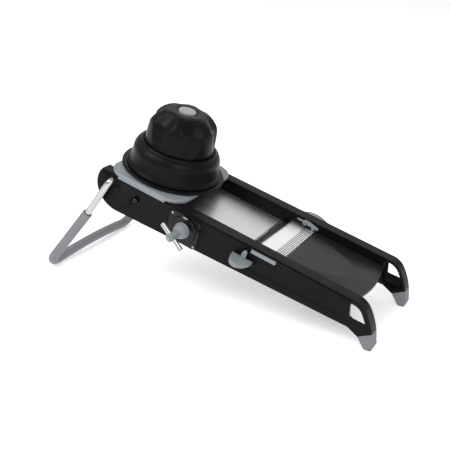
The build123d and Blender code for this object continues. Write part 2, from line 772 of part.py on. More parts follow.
def lock_clip():
    """Inner lever: round boss, thin tail, tapered arm with a toe that holds the blade down."""
    y_high = inner_half - sliding
    y_low = y_high - lock_clip_width
    boss = cross_rod(lock_x, lock_z, 3.1, y_low - 0.6, y_high)
    toe_z = blade_top + 0.3
    arm = polygon((lock_x - 1.0, lock_z + 2.4), (lock_x + 4.0, lock_z + 2.6), (lock_x + 16.8, lock_z - 0.2),
                  (lock_x + 17.8, lock_z - 1.6), (lock_x + 17.2, lock_z - 2.8), (lock_x + 13.5, lock_z - 2.6),
                  (lock_x + 13.0, toe_z), (lock_x + 10.0, toe_z), (lock_x + 9.0, lock_z - 1.8),
                  (lock_x, lock_z - 2.2))
    tail = polygon((lock_x, lock_z + 1.2), (lock_x, lock_z - 1.2), (lock_x - 11.5, lock_z - 0.2),
                   (lock_x - 11.5, lock_z + 0.7))
    clip = boss + slab(arm, y_low, y_high) + slab(tail, y_low + 0.8, y_high)
    return clip - cross_rod(lock_x, lock_z, lock_axle_radius, y_low - 2, y_high + 1)


def lock_wheel():
    """Outer ridged wheel segment that turns the clip, out beyond the carriage's edge."""
    y_low = lock_wheel_y
    y_high = y_low + lock_wheel_width
    x = lock_x + lock_wheel_shift[0]
    z = lock_z + lock_wheel_shift[1]
    wheel = cross_rod(x, z, lock_wheel_radius, y_low, y_high)
    low = lock_z - lock_wheel_depth
    reach = lock_wheel_reach
    wheel &= side_box(x - reach, x + reach, y_low - 1, y_high + 1, low, z + 40)
    ridge_reach = lock_wheel_radius + 0.5
    for i in range(lock_teeth):
        angle = math.asin(lock_wheel_reach / ridge_reach) * (2 * i / (lock_teeth - 1) - 1)
        place = (x + ridge_reach * math.sin(angle), z + ridge_reach * math.cos(angle))
        wheel -= cross_rod(*place, 0.9, y_low - 1, y_high + 1)
    return wheel - cross_rod(lock_x, lock_z, lock_axle_radius, half_width - 1, y_high + 1)


# ---------------------------------------------------------------- carriage
def carriage_plate():
    plate = RectangleRounded(2 * carriage_half_length, 2 * carriage_half_width, carriage_corner)
    plate -= Circle(throat_radius + sliding)
    body = extrude(Pos(pusher_x, 0, carriage_z) * plate, amount=carriage_thickness)
    top_rim = body.edges().filter_by(Plane.XY).group_by(Axis.Z)[-1]
    outer = [edge for edge in top_rim if edge.geom_type != GeomType.CIRCLE or edge.radius < throat_radius]
    body = fillet(outer, 1.4)
    for place in glide_screw_places():
        body -= Pos(*place, carriage_z) * Cylinder(1.2, 5.0)
    return body


def glide_screw_places():
    y = half_width + 0.6
    reach = carriage_half_length - carriage_corner - 2.0
    return [(pusher_x + sx * reach, sy * y) for sx in (-1, 1) for sy in (-1, 1)]


def carriage_glide(side):
    """Strip under the plate's edge whose lip runs in the rail's groove."""
    reach = carriage_half_length - carriage_corner + 4.0
    wall = side_box(pusher_x - reach, pusher_x + reach, half_width + sliding, half_width + carriage_overhang - 0.2,
                    -2.3, carriage_z)
    lip = side_box(pusher_x - reach, pusher_x + reach, half_width - 1.2, half_width + sliding, -2.3, -1.2)
    glide = wall + lip
    return glide if side > 0 else mirror(glide, about=Plane.XZ)


def glide_screws():
    screws = []
    for x, y in glide_screw_places():
        screws.append(Pos(x, y, carriage_z) * Cylinder(1.2, 2.5, align=(Align.CENTER, Align.CENTER, Align.MIN)))
    return screws


# ---------------------------------------------------------------- pusher
def turned(*points):
    """Solid of revolution about the pusher's axis from points given as radius and height."""
    return Pos(pusher_x, 0, 0) * revolve(Plane.XZ * polygon(*points), Axis.Z)


def pusher_ring():
    """Outer flange that sits in the carriage's hole; the bell turns in it."""
    outer = flange_radius
    return turned(
        (ring_inner, carriage_z + 0.5),
        (throat_radius, carriage_z + 0.5),
        (throat_radius, flange_z),
        (outer - 1.6, flange_z),
        (outer, flange_z + 1.2),
        (outer, flange_z + flange_height - 1.2),
        (outer - 1.6, flange_z + flange_height),
        (ring_inner, flange_z + flange_height),
    )


def pusher_bell():
    """Bell-shaped housing: skirt on the ring, hollow wall, raised lip and a tube that guides the plunger."""
    tube = ring_inner - sliding
    skirt = flange_radius - 6.0
    waist = flange_radius - 9.8
    shoulder = bell_top - 9.0
    shell = turned(
        (bell_inner, carriage_z - 0.8),
        (tube, carriage_z - 0.8),
        (tube, bell_foot),
        (skirt, bell_foot),
        (skirt + 0.8, bell_foot + 1.0),
        (skirt + 0.4, bell_foot + 2.4),
        (waist + 1.4, bell_foot + 3.4),
        (waist + 0.6, bell_foot + 8.0),
        (waist, shoulder - 4.0),
        (waist - 0.7, shoulder),
        (waist - 2.4, shoulder + 3.6),
        (waist - 4.6, bell_top - 2.8),
        (waist - 6.6, bell_top - 1.9),
        (waist - 7.2, bell_top - 0.3),
        (waist - 8.0, bell_top),
        (bell_inner + 0.6, bell_top),
        (bell_inner, bell_top - 0.6),
    )
    cavity = turned(
        (tube, bell_foot - 1),
        (waist - 2.2, bell_foot - 1),
        (waist - bell_wall, shoulder - 4.0),
        (waist - bell_wall - 1.6, shoulder + 1.0),
        (tube + 0.8, shoulder + 3.0),
        (tube, shoulder + 1.0),
    )
    return shell - cavity


def snap_ring():
    """Wire ring in the bell tube's groove that keeps the bell in the flange."""
    tube = ring_inner - sliding
    return turned((tube, carriage_z - 0.6), (tube + 2.0, carriage_z - 0.6), (tube + 2.0, carriage_z + 0.2),
                  (tube, carriage_z + 0.2))


pin_plate_z = carriage_top + 12.0
knob_z = bell_top + 0.8
knob_radius = plunger_radius - 0.9
crown_z = knob_z + knob_height
well_radius = button_radius + sliding
well_floor = -button_sink - button_travel - 0.4
spring_foot = -20.0         # spring's seat below the crown


def plunger_sleeve():
    """Tube that slides in the bell and carries the pin plate."""
    inner = plunger_radius - plunger_wall
    return turned((inner, pin_plate_z + pin_plate_height), (plunger_radius, pin_plate_z + pin_plate_height),
                  (plunger_radius, knob_z - 1.0), (inner, knob_z - 1.0))


def pusher_knob():
    """Hollow palm knob with scalloped lobes and a guided well for the button."""
    crown = knob_crown_radius
    foot = knob_z - 1.0
    body = turned((0, foot), (knob_radius, foot), (knob_radius - 0.6, knob_z + 0.58 * knob_height),
                  (knob_radius - 2.6, knob_z + 0.67 * knob_height),
                  (knob_radius - 8.6, knob_z + 0.833 * knob_height),
                  (crown + 9.0, knob_z + 0.96 * knob_height), (crown, crown_z), (0, crown_z))
    hollow = turned((0, foot - 1), (knob_radius - 3.6, foot - 1), (knob_radius - 3.8, knob_z + 0.2 * knob_height),
                    (knob_radius - 8.2, knob_z + 0.47 * knob_height), (knob_radius - 12.8, knob_z + 0.66 * knob_height),
                    (crown + 2.0, crown_z - 11.0), (0, crown_z - 11.0))
    lean = math.radians(scallop_lean)
    out = knob_radius - 8.6 - scallop_depth + scallop_radius * math.cos(lean)
    up = knob_z + 0.833 * knob_height + scallop_radius * math.sin(lean)
    cut = Pos(out, 0, up) * Rot(Y=-scallop_lean) * Cylinder(scallop_radius, 3 * knob_height)
    for i in range(knob_lobes):
        body -= Pos(pusher_x, 0, 0) * Rot(Z=scallop_start + i * 360 / knob_lobes) * cut
    upward = (Align.CENTER, Align.CENTER, Align.MIN)
    axis = Pos(pusher_x, 0, crown_z)
    guide = axis * Pos(0, 0, -22.0) * Cylinder(well_radius + 2.4, 18.0, align=upward)
    knob = body - hollow + guide
    knob -= axis * Pos(0, 0, well_floor) * Cylinder(well_radius, 40.0, align=upward)
    knob -= axis * Pos(0, 0, spring_foot) * Cylinder(6.2, 40.0, align=upward)
    return knob - axis * Pos(0, 0, -30.0) * Cylinder(stem_radius + running, 20.0, align=upward)


def pin_plate():
    plate = turned((0, pin_plate_z), (plunger_radius - 1.0, pin_plate_z), (plunger_radius, pin_plate_z + 1.0),
                   (plunger_radius, pin_plate_z + pin_plate_height), (0, pin_plate_z + pin_plate_height))
    for place in pin_places():
        plate -= Pos(pusher_x + place[0], place[1], pin_plate_z) * Cylinder(pin_radius, 4.0)
    for place in plate_screw_places():
        plate -= Pos(*place, pin_plate_z) * Cylinder(1.3, 10.0)
    return plate


def pin_places():
    places = [(0.0, 0.0)]
    for ring in (1, 2, 3):
        radius = ring * plunger_radius * 0.27
        for i in range(6 * ring):
            angle = math.radians(360 * i / (6 * ring))
            places.append((radius * math.cos(angle), radius * math.sin(angle)))
    return places


def food_pins():
    pins = []
    for x, y in pin_places():
        point = Cone(0.2, pin_radius, pin_length, align=(Align.CENTER, Align.CENTER, Align.MAX))
        root = Cylinder(pin_radius, 2.0, align=(Align.CENTER, Align.CENTER, Align.MIN))
        pins.append(Pos(pusher_x + x, y, pin_plate_z) * (point + root))
    return pins


def plate_screw_places():
    radius = plunger_radius - 1.6
    return [(pusher_x + radius * math.cos(a), radius * math.sin(a))
            for a in (math.radians(30), math.radians(150), math.radians(270))]


def plate_screws():
    screws = []
    for place in plate_screw_places():
        shank = Cylinder(1.3, 3.0, align=(Align.CENTER, Align.CENTER, Align.MIN))
        screws.append(Pos(*place, pin_plate_z) * shank)
    return screws


def release_button():
    """Palm button: a rounded cap on a stem that runs down inside the knob."""
    under = crown_z - button_sink
    cap = turned((0, under), (button_radius, under), (button_radius, crown_z - 1.0),
                 (button_radius - 1.0, crown_z), (button_radius - 4.0, crown_z + 0.5), (0, crown_z + 0.7))
    stem_length = 24.0 - button_sink
    upward = (Align.CENTER, Align.CENTER, Align.MIN)
    stem = Pos(pusher_x, 0, crown_z - 24.0) * Cylinder(stem_radius, stem_length, align=upward)
    return cap + stem


def button_spring():
    """Coil spring round the stem, as the tube it fills."""
    low = crown_z + spring_foot
    high = crown_z - button_sink
    return turned((3.2, low), (5.0, low), (5.0, high), (3.2, high))


# ---------------------------------------------------------------- assembly
nodes = {
    "side_rail_near": near_rail(),
    "side_rail_far": far_rail(),
    "foot_pad_near": foot_pad(-1),
    "foot_pad_far": foot_pad(1),
    "outfeed_bed": outfeed_bed(),
    "cross_bar_high": cross_bar(*bar_high),
    "cross_bar_mid": cross_bar(*bar_mid),
    "cross_bar_low": cross_bar(*bar_low),
    "cross_bar_screws": bar_screws(),
    "stand_bushes": stand_bushes(),
    "infeed_hinge_screws": hinge_screws(),
    "adjuster_plate": adjuster_plate(),
    "adjuster_bezel": adjuster_bezel(),
    "plate_fixings": plate_fixings(),
    "thickness_pointer": thickness_pointer(),
    "shaft_bearing": shaft_bearing(),
    "stand_wire": stand_wire(),
    "stand_sleeve": stand_sleeve(),
    "infeed_plate": infeed_plate(),
    "infeed_tray": infeed_tray(),
    "adjuster_dome": adjuster_dome(),
    "adjuster_t_bar": adjuster_t_bar(),
    "adjuster_hub_screw": hub_screw(),
    "adjuster_shaft": adjuster_shaft(),
    "adjuster_cams": adjuster_cams(),
    "julienne_bar": comb_bar(),
    "julienne_teeth": comb_teeth(),
    "julienne_grip": comb_grip(),
    "julienne_pointer": comb_pointer(),
    "blade_plate": blade_plate(),
    "blade_carrier": blade_carrier(),
    "blade_grip": blade_grip(),
    "blade_rivets": blade_rivets(),
    "lock_axle": lock_axle(),
    "lock_clip": lock_clip(),
    "lock_wheel": lock_wheel(),
    "carriage_plate": carriage_plate(),
    "carriage_glide_near": carriage_glide(-1),
    "carriage_glide_far": carriage_glide(1),
    "glide_screws": glide_screws(),
    "pusher_ring": pusher_ring(),
    "pusher_bell": pusher_bell(),
    "pusher_snap_ring": snap_ring(),
    "plunger_sleeve": plunger_sleeve(),
    "pusher_knob": pusher_knob(),
    "pin_plate": pin_plate(),
    "food_pins": food_pins(),
    "pin_plate_screws": plate_screws(),
    "release_button": release_button(),
    "button_spring": button_spring(),
}


def as_solids(item):
    group = item if isinstance(item, list) else [item]
    return [solid for shape in group for solid in shape.solids()]


def stand_on_table(parts):
    """Tilt every piece onto the table and put the origin under the middle of the whole slicer."""
    tilted = {name: [Rot(Y=tilt) * solid for solid in as_solids(item)] for name, item in parts.items()}
    whole = Compound(children=[copy_of for group in tilted.values() for copy_of in group])
    box = whole.bounding_box(optimal=True)
    shift = Pos(-(box.min.X + box.max.X) / 2, -(box.min.Y + box.max.Y) / 2, -box.min.Z)
    return {name: Compound([shift * solid for solid in group]) for name, group in tilted.items()}, shift


placed, shift = stand_on_table(nodes)
os.makedirs("parts", exist_ok=True)
for name, shape in placed.items():
    export_step(shape, f"parts/{name}.step")
print(f"{len(placed)} nodes, tilt {tilt:.3f} degrees, origin shift {tuple(round(v, 3) for v in shift.position)}")
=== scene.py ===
import bpy
import bmesh
import json
import math
from mathutils import Matrix, Vector


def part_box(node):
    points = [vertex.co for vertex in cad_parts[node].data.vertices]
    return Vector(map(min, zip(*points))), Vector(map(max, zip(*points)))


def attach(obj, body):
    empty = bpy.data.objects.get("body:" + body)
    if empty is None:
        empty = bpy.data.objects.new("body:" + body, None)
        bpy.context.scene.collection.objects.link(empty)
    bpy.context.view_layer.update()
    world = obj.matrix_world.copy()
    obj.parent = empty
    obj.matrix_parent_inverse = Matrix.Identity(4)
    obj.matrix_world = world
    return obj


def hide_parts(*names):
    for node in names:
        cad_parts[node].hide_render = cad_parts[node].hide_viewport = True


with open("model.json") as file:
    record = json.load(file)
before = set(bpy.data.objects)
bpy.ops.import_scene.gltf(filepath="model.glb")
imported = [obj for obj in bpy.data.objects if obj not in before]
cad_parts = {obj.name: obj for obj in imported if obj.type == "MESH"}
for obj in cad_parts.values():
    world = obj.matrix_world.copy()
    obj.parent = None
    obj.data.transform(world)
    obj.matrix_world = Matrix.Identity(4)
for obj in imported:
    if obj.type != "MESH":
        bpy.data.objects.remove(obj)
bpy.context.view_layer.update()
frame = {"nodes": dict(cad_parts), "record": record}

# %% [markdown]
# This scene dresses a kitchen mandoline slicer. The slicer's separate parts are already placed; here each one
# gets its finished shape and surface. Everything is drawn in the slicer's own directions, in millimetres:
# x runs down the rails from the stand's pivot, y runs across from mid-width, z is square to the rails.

record = frame["record"]
joints = {joint["name"]: joint for joint in record["behaviour"]["joints"]}
slot_of = {part["node"]: part["material_slot"] for part in record["subparts"]}
body_of = {node: body for body, nodes in record["behaviour"]["bodies"].items() for node in nodes}

down_rails = Vector(joints["carriage_slide"]["axis"])
TILT = math.atan2(-down_rails.z, down_rails.x)
turn_to_table = Matrix.Rotation(TILT, 4, "Y")
PIVOT = Vector((0.0, 0.0, -0.009))
ORIGIN = Vector(joints["stand_fold"]["pos_m"]) - turn_to_table @ PIVOT
SLICER = Matrix.Translation(ORIGIN) @ turn_to_table @ Matrix.Scale(0.001, 4)


def in_slicer(point):
    """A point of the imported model, in millimetres along the slicer's own directions."""
    return SLICER.inverted() @ Vector(point)


PUSHER_X = in_slicer(joints["pusher_turn"]["pos_m"]).x
print("tilt", round(math.degrees(TILT), 2), "degrees, pusher at", round(PUSHER_X, 1), "mm down the rails")

# %% [markdown]
# Shared effects are small node groups, so a moulder's grain or a cook's wear looks the same on every piece
# that has it. A group only hands out a height or a mask; each material decides what to do with it.

# %% Shared surface effects


def effect_group(name, inputs, outputs):
    group = bpy.data.node_groups.new(name, "ShaderNodeTree")
    for label, kind, value in inputs:
        socket = group.interface.new_socket(label, in_out="INPUT", socket_type=kind)
        if value is not None:
            socket.default_value = value
    for label, kind in outputs:
        group.interface.new_socket(label, in_out="OUTPUT", socket_type=kind)
    return group, group.nodes.new("NodeGroupInput"), group.nodes.new("NodeGroupOutput")


def number_node(tree, operation, *values, clamp=False):
    """Math node whose inputs are numbers or other sockets."""
    node = tree.nodes.new("ShaderNodeMath")
    node.operation = operation
    node.use_clamp = clamp
    for socket, value in zip(node.inputs, values):
        if isinstance(value, (int, float)):
            socket.default_value = value
        else:
            tree.links.new(value, socket)
    return node.outputs[0]


def noise_node(tree, vector, scale, detail=4.0, roughness=0.5):
    node = tree.nodes.new("ShaderNodeTexNoise")
    node.inputs["Detail"].default_value = detail
    node.inputs["Roughness"].default_value = roughness
    if isinstance(scale, (int, float)):
        node.inputs["Scale"].default_value = scale
    else:
        tree.links.new(scale, node.inputs["Scale"])
    tree.links.new(vector, node.inputs["Vector"])
    return node.outputs["Fac"]


def build_slicer_coordinates():
    """Object coordinates turned into the slicer's own millimetres."""
    inputs = [("Vector", "NodeSocketVector", None)]
    group, start, end = effect_group("Slicer coordinates", inputs, [("Vector", "NodeSocketVector")])
    mapping = group.nodes.new("ShaderNodeMapping")
    mapping.vector_type = "TEXTURE"
    mapping.inputs["Location"].default_value = ORIGIN
    mapping.inputs["Rotation"].default_value = (0.0, TILT, 0.0)
    mapping.inputs["Scale"].default_value = (0.001, 0.001, 0.001)
    group.links.new(start.outputs["Vector"], mapping.inputs["Vector"])
    group.links.new(mapping.outputs["Vector"], end.inputs["Vector"])
    return group


def build_moulded_grain():
    """Fine spark-eroded grain with slow flow marks, as moulded plastic and rubber have."""
    inputs = [("Vector", "NodeSocketVector", None), ("Grain per mm", "NodeSocketFloat", 3.0)]
    outputs = [("Height", "NodeSocketFloat"), ("Flow", "NodeSocketFloat")]
    group, start, end = effect_group("Moulded grain", inputs, outputs)
    fine = noise_node(group, start.outputs["Vector"], start.outputs["Grain per mm"], 3.0, 0.6)
    slow = noise_node(group, start.outputs["Vector"], 0.035, 2.0, 0.5)
    group.links.new(fine, end.inputs["Height"])
    group.links.new(slow, end.inputs["Flow"])
    return group


def build_edge_wear():
    """Mask that is bright on worn outside edges, broken up so that it never runs evenly."""
    inputs = [("Vector", "NodeSocketVector", None), ("Rounded normal", "NodeSocketVector", None)]
    group, start, end = effect_group("Edge wear", inputs, [("Mask", "NodeSocketFloat")])
    geometry = group.nodes.new("ShaderNodeNewGeometry")
    compare = group.nodes.new("ShaderNodeVectorMath")
    compare.operation = "DOT_PRODUCT"
    group.links.new(geometry.outputs["Normal"], compare.inputs[0])
    group.links.new(start.outputs["Rounded normal"], compare.inputs[1])
    off = number_node(group, "SUBTRACT", 1.0, compare.outputs["Value"], clamp=True)
    edge = number_node(group, "MULTIPLY", off, 6.0, clamp=True)
    patch = noise_node(group, start.outputs["Vector"], 0.12, 5.0, 0.65)
    sharp = number_node(group, "MULTIPLY_ADD", patch, 3.0, -1.1, clamp=True)
    group.links.new(number_node(group, "MULTIPLY", edge, sharp), end.inputs["Mask"])
    return group


def build_handling():
    """Mask of faint smears where hands and food have been."""
    inputs = [("Vector", "NodeSocketVector", None)]
    group, start, end = effect_group("Handling smears", inputs, [("Mask", "NodeSocketFloat")])
    broad = noise_node(group, start.outputs["Vector"], 0.045, 4.0, 0.6)
    fine = noise_node(group, start.outputs["Vector"], 0.4, 3.0, 0.5)
    mix = number_node(group, "MULTIPLY", broad, fine)
    group.links.new(number_node(group, "MULTIPLY_ADD", mix, 4.0, -0.6, clamp=True), end.inputs["Mask"])
    return group


def build_brushing():
    """Fine scratches drawn along x, with a few deeper ones, as rolled and brushed sheet has."""
    inputs = [("Vector", "NodeSocketVector", None), ("Lines per mm", "NodeSocketFloat", 4.0)]
    outputs = [("Height", "NodeSocketFloat"), ("Streak", "NodeSocketFloat")]
    group, start, end = effect_group("Brushing", inputs, outputs)
    stretch = group.nodes.new("ShaderNodeMapping")
    stretch.inputs["Scale"].default_value = (0.012, 1.0, 1.0)
    group.links.new(start.outputs["Vector"], stretch.inputs["Vector"])
    lines = noise_node(group, stretch.outputs["Vector"], start.outputs["Lines per mm"], 6.0, 0.65)
    streak = noise_node(group, stretch.outputs["Vector"], 0.45, 3.0, 0.5)
    group.links.new(lines, end.inputs["Height"])
    group.links.new(streak, end.inputs["Streak"])
    return group


effects = {
    "coordinates": build_slicer_coordinates(),
    "grain": build_moulded_grain(),
    "wear": build_edge_wear(),
    "smears": build_handling(),
    "brushing": build_brushing(),
}
print(len(effects), "shared effects")

# %% [markdown]
# Each material starts with the same few steps: the slicer's coordinates, and a slightly rounded normal so that
# every cut edge catches a thin line of light. Plastics then add grain, metals add brushing.

# %% Surfaces
SHADE = {}


def place_effect(tree, key, **links):
    node = tree.nodes.new("ShaderNodeGroup")
    node.node_tree = effects[key]
    for label, value in links.items():
        socket = node.inputs[label.replace("_", " ")]
        if isinstance(value, (int, float)):
            socket.default_value = value
        else:
            tree.links.new(value, socket)
    return node


def start_material(name, rounding):
    """Empty material with its coordinates and rounded normal ready."""
    material = bpy.data.materials.new(name)
    material.use_nodes = True
    tree = material.node_tree
    shader = tree.nodes["Principled BSDF"]
    where = tree.nodes.new("ShaderNodeTexCoord")
    slicer = place_effect(tree, "coordinates", Vector=where.outputs["Object"])
    rounded = tree.nodes.new("ShaderNodeBevel")
    rounded.samples = 4
    rounded.inputs["Radius"].default_value = rounding * 0.001
    return material, tree, shader, slicer.outputs["Vector"], rounded.outputs["Normal"]


def mixed_colour(tree, mask, first, second):
    node = tree.nodes.new("ShaderNodeMix")
    node.data_type = "RGBA"
    for index, colour in ((6, first), (7, second)):
        if isinstance(colour, tuple):
            node.inputs[index].default_value = (*colour, 1.0)
        else:
            tree.links.new(colour, node.inputs[index])
    tree.links.new(mask, node.inputs[0])
    return node.outputs[2]


def bumped(tree, height, normal, depth):
    node = tree.nodes.new("ShaderNodeBump")
    node.inputs["Strength"].default_value = 1.0
    node.inputs["Distance"].default_value = depth * 0.001
    tree.links.new(height, node.inputs["Height"])
    tree.links.new(normal, node.inputs["Normal"])
    return node.outputs["Normal"]


def moulded(name, colour, roughness, rounding=0.5, grain=3.0, grain_depth=0.02, worn=0.25,
            reflect=1.45, gloss=0.5):
    """Moulded plastic or rubber."""
    material, tree, shader, where, rounded = start_material(name, rounding)
    marks = place_effect(tree, "grain", Vector=where, Grain_per_mm=grain)
    wear = place_effect(tree, "wear", Vector=where, Rounded_normal=rounded)
    smears = place_effect(tree, "smears", Vector=where)
    paler = tuple(min(1.0, value * 1.5 + 0.02) for value in colour)
    darker = tuple(value * 0.86 for value in colour)
    flow = mixed_colour(tree, marks.outputs["Flow"], darker, tuple(min(1.0, value * 1.12) for value in colour))
    amount = number_node(tree, "MULTIPLY", wear.outputs["Mask"], worn)
    tree.links.new(mixed_colour(tree, amount, flow, paler), shader.inputs["Base Color"])
    shine = number_node(tree, "MULTIPLY_ADD", smears.outputs["Mask"], -0.10, roughness)
    dull = number_node(tree, "MULTIPLY_ADD", marks.outputs["Flow"], 0.08, shine)
    tree.links.new(dull, shader.inputs["Roughness"])
    tree.links.new(bumped(tree, marks.outputs["Height"], rounded, grain_depth), shader.inputs["Normal"])
    shader.inputs["IOR"].default_value = reflect
    shader.inputs["Specular IOR Level"].default_value = gloss
    SHADE[name] = material
    return material


def steel(name, colour, roughness, lines=4.0, depth=0.004, streaks=0.12, rounding=0.25):
    """Brushed, ground or plated steel. Its streaks are a little darker and duller than the rest."""
    material, tree, shader, where, rounded = start_material(name, rounding)
    brushing = place_effect(tree, "brushing", Vector=where, Lines_per_mm=lines)
    smears = place_effect(tree, "smears", Vector=where)
    darker = tuple(value * (1.0 - streaks) for value in colour)
    tree.links.new(mixed_colour(tree, brushing.outputs["Streak"], darker, colour), shader.inputs["Base Color"])
    base = number_node(tree, "MULTIPLY_ADD", brushing.outputs["Streak"], streaks, roughness)
    dulled = number_node(tree, "MULTIPLY_ADD", smears.outputs["Mask"], 0.10, base)
    tree.links.new(dulled, shader.inputs["Roughness"])
    tree.links.new(bumped(tree, brushing.outputs["Height"], rounded, depth), shader.inputs["Normal"])
    shader.inputs["Metallic"].default_value = 1.0
    SHADE[name] = material
    return material


moulded("black_plastic", (0.0048, 0.0048, 0.0053), 0.40,
        rounding=0.7, worn=0.12, reflect=1.40, gloss=0.14)
moulded("gloss_black_plastic", (0.004, 0.004, 0.0045), 0.16,
        rounding=0.5, grain_depth=0.004, reflect=1.42, gloss=0.35, worn=0.1)
moulded("bed_plastic", (0.0150, 0.0150, 0.0155), 0.34,
        rounding=0.6, grain=2.0, grain_depth=0.015, reflect=1.40, gloss=0.3, worn=0.1)
moulded("grey_plastic", (0.225, 0.252, 0.270), 0.42, rounding=0.6, reflect=1.42)
moulded("pale_grey_plastic", (0.30, 0.30, 0.297), 0.32, rounding=0.5)
moulded("foot_rubber", (0.165, 0.172, 0.190), 0.62,
        rounding=0.8, grain=2.0, grain_depth=0.04, worn=0.15)
moulded("grip_rubber", (0.0046, 0.0044, 0.0050), 0.34,
        rounding=0.9, grain=2.5, grain_depth=0.02, worn=0.08, reflect=1.40, gloss=0.15)
moulded("sleeve_grip", (0.190, 0.198, 0.212), 0.55,
        rounding=0.6, grain=2.0, grain_depth=0.03, worn=0.1)
steel("infeed_steel", (0.70, 0.695, 0.68), 0.30, lines=3.0, streaks=0.16)
steel("chromed_steel", (0.52, 0.515, 0.50), 0.14, lines=1.5, depth=0.001, streaks=0.05, rounding=0.4)
steel("screw_steel", (0.40, 0.40, 0.40), 0.26, lines=3.0, streaks=0.08)
steel("comb_steel", (0.17, 0.162, 0.15), 0.28, lines=4.0, streaks=0.10)
# Painted shade: near-black steel for the hinge screws, standing in for the shade of the hole around them.
steel("screw_steel_painted_shade", (0.045, 0.045, 0.048), 0.30, lines=3.0, streaks=0.05)

# Three nodes are drawn darker than their material's usual finish. For the hinge screws the dark steel is painted
# shade, for the dark hole they sit in.
DARKER_THAN_SLOT = {
    "julienne_bar": "comb_steel",
    "julienne_teeth": "comb_steel",
    "infeed_hinge_screws": "screw_steel_painted_shade",
}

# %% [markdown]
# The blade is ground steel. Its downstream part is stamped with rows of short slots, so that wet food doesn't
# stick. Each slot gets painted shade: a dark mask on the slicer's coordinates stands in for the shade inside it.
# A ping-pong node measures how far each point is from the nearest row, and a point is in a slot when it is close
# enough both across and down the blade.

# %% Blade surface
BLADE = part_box("blade_plate")
blade_material = steel("blade_steel", (0.86, 0.86, 0.86), 0.34, lines=5.0, streaks=0.06)
tree = blade_material.node_tree
shader = tree.nodes["Principled BSDF"]
slicer = next(node for node in tree.nodes if node.type == "GROUP" and node.node_tree == effects["coordinates"])
split = tree.nodes.new("ShaderNodeSeparateXYZ")
tree.links.new(slicer.outputs["Vector"], split.inputs["Vector"])
GRID_PITCH = 2.4
GRID_START = 210.6
SLOT_HALF_LENGTH = 0.95
SLOT_HALF_WIDTH = 0.5
GRID_HALF_SPAN = 46.0
across = number_node(tree, "PINGPONG", split.outputs["Y"], GRID_PITCH / 2)
past_start = number_node(tree, "SUBTRACT", split.outputs["X"], GRID_START)
down = number_node(tree, "PINGPONG", past_start, GRID_PITCH / 2)
slot_across = number_node(tree, "LESS_THAN", across, SLOT_HALF_LENGTH)
slot_down = number_node(tree, "LESS_THAN", down, SLOT_HALF_WIDTH)
stamped = number_node(tree, "GREATER_THAN", split.outputs["X"], GRID_START - 0.4)
inside = number_node(tree, "LESS_THAN", number_node(tree, "ABSOLUTE", split.outputs["Y"]), GRID_HALF_SPAN)
slot = number_node(tree, "MULTIPLY", slot_across, slot_down)
painted_slot_shade = number_node(tree, "MULTIPLY", slot, number_node(tree, "MULTIPLY", stamped, inside))
plain = shader.inputs["Base Color"].links[0].from_socket
# Painted shade: the slot mask darkens the steel to the near-black of the shade inside each slot.
tree.links.new(mixed_colour(tree, painted_slot_shade, plain, (0.035, 0.035, 0.038)), shader.inputs["Base Color"])
print("materials:", ", ".join(sorted(SHADE)))
print("blade box", BLADE)

# %% [markdown]
# Turned pieces are made as a turner would: half of the section is drawn once and spun a full circle round the
# pusher's axis. The spin closes on itself, so the piece is one watertight skin.

# %% Workshop helpers


def finish_piece(mesh_data, name, node, sharp_angle=35.0):
    """Puts a modelled piece in place of its plain stand-in."""
    bmesh.ops.remove_doubles(mesh_data, verts=mesh_data.verts, dist=1e-4)
    bmesh.ops.recalc_face_normals(mesh_data, faces=mesh_data.faces)
    bmesh.ops.transform(mesh_data, matrix=SLICER, verts=mesh_data.verts)
    mesh = bpy.data.meshes.new(name)
    mesh_data.to_mesh(mesh)
    mesh_data.free()
    mesh.shade_smooth()
    mesh.set_sharp_from_angle(angle=math.radians(sharp_angle))
    piece = bpy.data.objects.new(name, mesh)
    bpy.context.collection.objects.link(piece)
    piece.data.materials.append(SHADE[DARKER_THAN_SLOT.get(node, slot_of[node])])
    even = piece.modifiers.new("even_flats", "WEIGHTED_NORMAL")
    even.keep_sharp = True
    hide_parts(node)
    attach(piece, body_of[node])
    return piece


def spun(section, centre, axis, steps=128):
    """Skin made by spinning a section of (radius, height) points round an axis."""
    mesh_data = bmesh.new()
    side = Vector((1, 0, 0))
    corners = [mesh_data.verts.new(centre + side * radius + axis * height) for radius, height in section]
    edges = [mesh_data.edges.new((first, second)) for first, second in zip(corners, corners[1:])]
    if section[0][0] > 1e-6 or section[-1][0] > 1e-6:
        edges.append(mesh_data.edges.new((corners[-1], corners[0])))
    bmesh.ops.spin(mesh_data, geom=corners + edges, cent=centre, axis=axis, dvec=(0, 0, 0),
                   angle=2 * math.pi, steps=steps, use_merge=True, use_duplicate=False)
    bmesh.ops.remove_doubles(mesh_data, verts=mesh_data.verts, dist=1e-4)
    return mesh_data


def softened_section(section, passes=2, share=0.22, longest_cut=1.2):
    """Rounds a section's corners by cutting each one off, a little more finely at every pass."""
    points = [Vector(point) for point in section]
    for _ in range(passes):
        cut = [points[0]]
        for before, here, after in zip(points, points[1:], points[2:]):
            cut.append(here.lerp(before, min(share, longest_cut / max((before - here).length, 1e-6))))
            cut.append(here.lerp(after, min(share, longest_cut / max((after - here).length, 1e-6))))
        cut.append(points[-1])
        points = cut
    return [tuple(point) for point in points]


AXIS_UP = Vector((0, 0, 1))
PUSHER = Vector((PUSHER_X, 0, 0))

# %% [markdown]
# The pusher is a stack of turned pieces. The wide flange sits on the carriage, the bell turns in it, and the
# palm knob comes out of the bell's raised lip. The lip's groove is what gives the pusher its dark ring.

# %% Pusher flange and bell
flange_section = [(46.4, 4.85), (62.0, 4.75), (63.25, 5.9), (63.25, 7.0), (61.6, 8.1), (46.4, 8.1)]
flange = spun(softened_section(flange_section), PUSHER, AXIS_UP)
finish_piece(flange, "pusher_flange", "pusher_ring")

